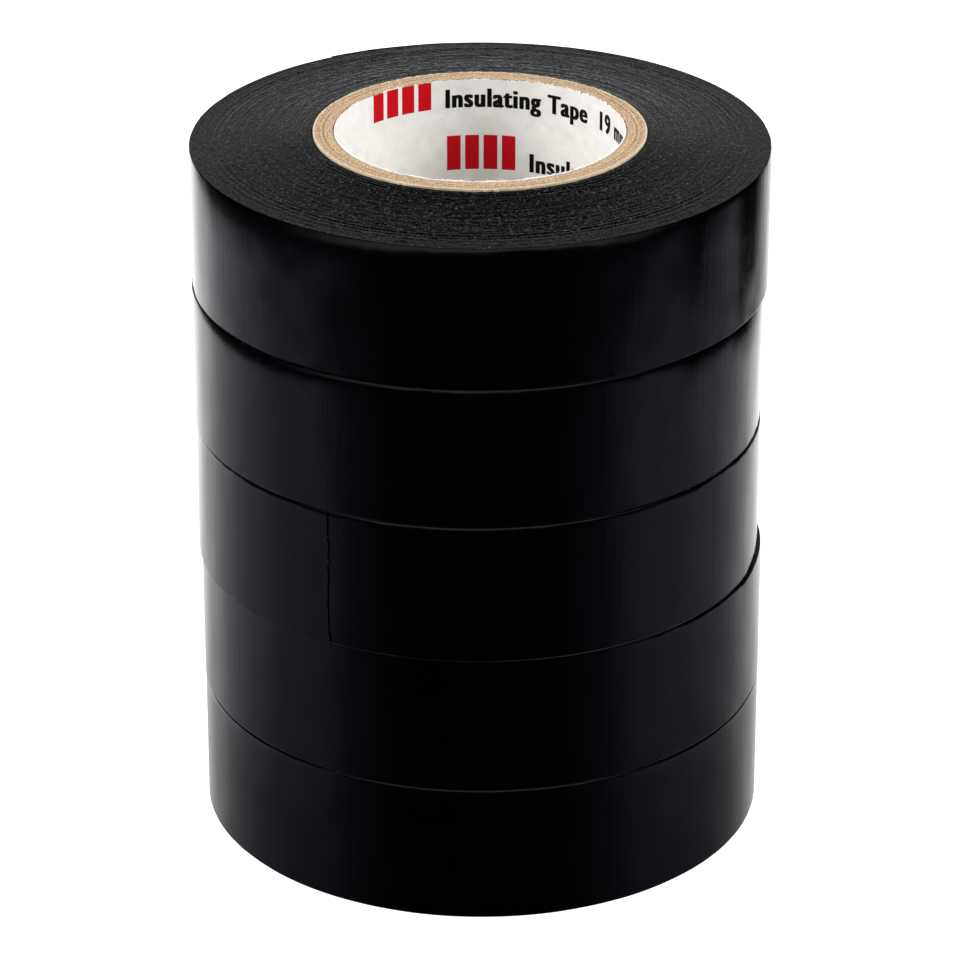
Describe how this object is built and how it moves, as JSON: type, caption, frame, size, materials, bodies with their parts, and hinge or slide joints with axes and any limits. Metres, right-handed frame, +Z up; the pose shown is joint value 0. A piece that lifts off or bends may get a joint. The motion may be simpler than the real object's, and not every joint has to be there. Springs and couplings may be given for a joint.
{
  "type": "electrical tape roll stack",
  "caption": "Stack of black vinyl electrical tape rolls on paperboard cores lined with printed paper; each roll lifts off the one below and has a free tape end that peels.",
  "frame": {"origin": "on the surface that the stack stands on, at the middle of its footprint", "axes": "+Z up along the rolls' axis; the free end of the middle roll faces -Y and a little to -X, and the print in the bores is read from -Y"},
  "size_m": [0.0762, 0.0765, 0.0966],
  "materials": {
    "black_vinyl": "satin",
    "kraft_board": "matte",
    "printed_paper": "matte"
  },
  "bodies": {
    "roll_1": {"roll_1_liner": "printed_paper", "roll_1_core_inner_ply": "kraft_board", "roll_1_core_outer_ply": "kraft_board", "roll_1_winding": "black_vinyl"},
    "roll_1_free_end": {"roll_1_tail": "black_vinyl"},
    "roll_2": {"roll_2_liner": "printed_paper", "roll_2_core_inner_ply": "kraft_board", "roll_2_core_outer_ply": "kraft_board", "roll_2_winding": "black_vinyl"},
    "roll_2_free_end": {"roll_2_tail": "black_vinyl"},
    "roll_3": {"roll_3_liner": "printed_paper", "roll_3_core_inner_ply": "kraft_board", "roll_3_core_outer_ply": "kraft_board", "roll_3_winding": "black_vinyl"},
    "roll_3_free_end": {"roll_3_tail": "black_vinyl"},
    "roll_4": {"roll_4_liner": "printed_paper", "roll_4_core_inner_ply": "kraft_board", "roll_4_core_outer_ply": "kraft_board", "roll_4_winding": "black_vinyl"},
    "roll_4_free_end": {"roll_4_tail": "black_vinyl"},
    "roll_5": {"roll_5_liner": "printed_paper", "roll_5_core_inner_ply": "kraft_board", "roll_5_core_outer_ply": "kraft_board", "roll_5_winding": "black_vinyl"},
    "roll_5_free_end": {"roll_5_tail": "black_vinyl"}
  },
  "joints": [
    {"name": "roll_1_peel", "type": "hinge", "parent": "roll_1", "child": "roll_1_free_end", "pos_m": [0.02923, 0.02446, 0.0095], "axis": [0, 0, -1], "range_deg": [0, 110]},
    {"name": "roll_2_lift", "type": "slide", "parent": "roll_1", "child": "roll_2", "axis": [0, 0, 1], "range_m": [0, 0.03]},
    {"name": "roll_2_peel", "type": "hinge", "parent": "roll_2", "child": "roll_2_free_end", "pos_m": [-0.02472, 0.02897, 0.0285], "axis": [0, 0, -1], "range_deg": [0, 110]},
    {"name": "roll_3_lift", "type": "slide", "parent": "roll_2", "child": "roll_3", "axis": [0, 0, 1], "range_m": [0, 0.03]},
    {"name": "roll_3_peel", "type": "hinge", "parent": "roll_3", "child": "roll_3_free_end", "pos_m": [-0.03104, -0.02234, 0.0475], "axis": [0, 0, -1], "range_deg": [0, 110]},
    {"name": "roll_4_lift", "type": "slide", "parent": "roll_3", "child": "roll_4", "axis": [0, 0, 1], "range_m": [0, 0.03]},
    {"name": "roll_4_peel", "type": "hinge", "parent": "roll_4", "child": "roll_4_free_end", "pos_m": [0.03356, 0.01617, 0.0665], "axis": [0, 0, -1], "range_deg": [0, 110]},
    {"name": "roll_5_lift", "type": "slide", "parent": "roll_4", "child": "roll_5", "axis": [0, 0, 1], "range_m": [0, 0.03]},
    {"name": "roll_5_peel", "type": "hinge", "parent": "roll_5", "child": "roll_5_free_end", "pos_m": [-0.0053, 0.03772, 0.0855], "axis": [0, 0, -1], "range_deg": [0, 110]}
  ]
}
